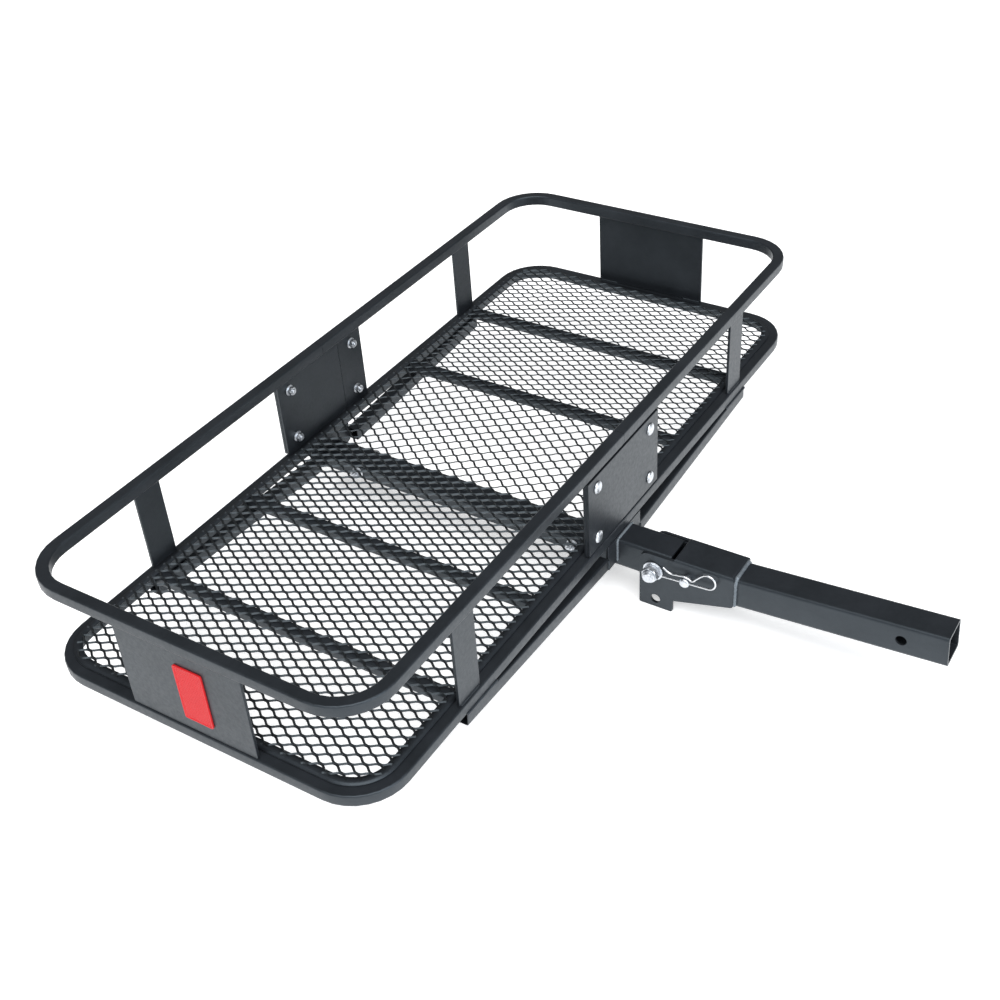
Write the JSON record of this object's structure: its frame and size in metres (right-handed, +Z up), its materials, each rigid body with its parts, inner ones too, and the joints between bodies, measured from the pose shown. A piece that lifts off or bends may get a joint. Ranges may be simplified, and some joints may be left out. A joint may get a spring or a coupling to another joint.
{
  "type": "hitch cargo carrier",
  "caption": "Folding steel cargo basket with an expanded-metal deck and a tube rail, on a square receiver shank with a locking pivot.",
  "frame": {"origin": "centre of the hitch-pin hole in the shank", "axes": "+X along the basket, across the vehicle; +Y away from the vehicle, from the shank to the basket; +Z up from the level deck"},
  "size_m": [1.3206, 1.0984, 0.285],
  "materials": {
    "black_powder_coat": "satin black powder coat on steel",
    "black_coated_mesh": "satin black powder coat on expanded steel",
    "zinc_plate": "bright zinc plate",
    "spring_wire": "zinc-plated spring wire",
    "red_reflector": "clear red moulded reflector"
  },
  "bodies": {
    "shank": {"shank_tube": "black_powder_coat", "fold_bracket": "black_powder_coat", "pivot_bolt": "zinc_plate", "pivot_washer": "zinc_plate", "pivot_nut": "zinc_plate"},
    "lock_pin": {"lock_pin": "zinc_plate"},
    "pin_clip": {"pin_clip": "spring_wire"},
    "carrier": {"base_frame_left": "black_powder_coat", "base_frame_right": "black_powder_coat", "brace_front_left": "black_powder_coat", "brace_front_right": "black_powder_coat", "brace_rear_left": "black_powder_coat", "brace_rear_right": "black_powder_coat", "carriage_bolt_front_1": "zinc_plate", "carriage_bolt_front_2": "zinc_plate", "carriage_bolt_front_3": "zinc_plate", "carriage_bolt_front_4": "zinc_plate", "carriage_bolt_rear_1": "zinc_plate", "carriage_bolt_rear_2": "zinc_plate", "carriage_bolt_rear_3": "zinc_plate", "carriage_bolt_rear_4": "zinc_plate", "carrier_stub": "black_powder_coat", "centre_tube_left": "black_powder_coat", "centre_tube_right": "black_powder_coat", "crossbar_1": "black_powder_coat", "crossbar_2": "black_powder_coat", "crossbar_3": "black_powder_coat", "crossbar_4": "black_powder_coat", "end_plate_left": "black_powder_coat", "end_plate_right": "black_powder_coat", "flange_nut_front_1": "zinc_plate", "flange_nut_front_2": "zinc_plate", "flange_nut_front_3": "zinc_plate", "flange_nut_front_4": "zinc_plate", "flange_nut_rear_1": "zinc_plate", "flange_nut_rear_2": "zinc_plate", "flange_nut_rear_3": "zinc_plate", "flange_nut_rear_4": "zinc_plate", "front_gusset": "black_powder_coat", "half_plate_front_left": "black_powder_coat", "half_plate_front_right": "black_powder_coat", "half_plate_rear_left": "black_powder_coat", "half_plate_rear_right": "black_powder_coat", "joining_bolt_front": "zinc_plate", "joining_bolt_rear": "zinc_plate", "joining_nut_front": "zinc_plate", "joining_nut_rear": "zinc_plate", "mesh_sheet_left": "black_coated_mesh", "mesh_sheet_right": "black_coated_mesh", "rear_gusset": "black_powder_coat", "reflector_left": "red_reflector", "reflector_right": "red_reflector", "splice_plate_front": "black_powder_coat", "splice_plate_rear": "black_powder_coat", "top_rail_left": "black_powder_coat", "top_rail_right": "black_powder_coat", "upright_front_left": "black_powder_coat", "upright_front_right": "black_powder_coat", "upright_rear_left": "black_powder_coat", "upright_rear_right": "black_powder_coat"}
  },
  "joints": [
    {"name": "fold", "type": "hinge", "parent": "shank", "child": "carrier", "pos_m": [0, 0.38096, -0.01946], "axis": [1, 0, 0], "range_deg": [0, 90]},
    {"name": "lock_pin_slide", "type": "slide", "parent": "shank", "child": "lock_pin", "axis": [1, 0, 0], "range_m": [0, 0.0055]},
    {"name": "clip_slide", "type": "slide", "parent": "lock_pin", "child": "pin_clip", "axis": [0, -0.9977, 0.068], "range_m": [0, 0.07]}
  ]
}
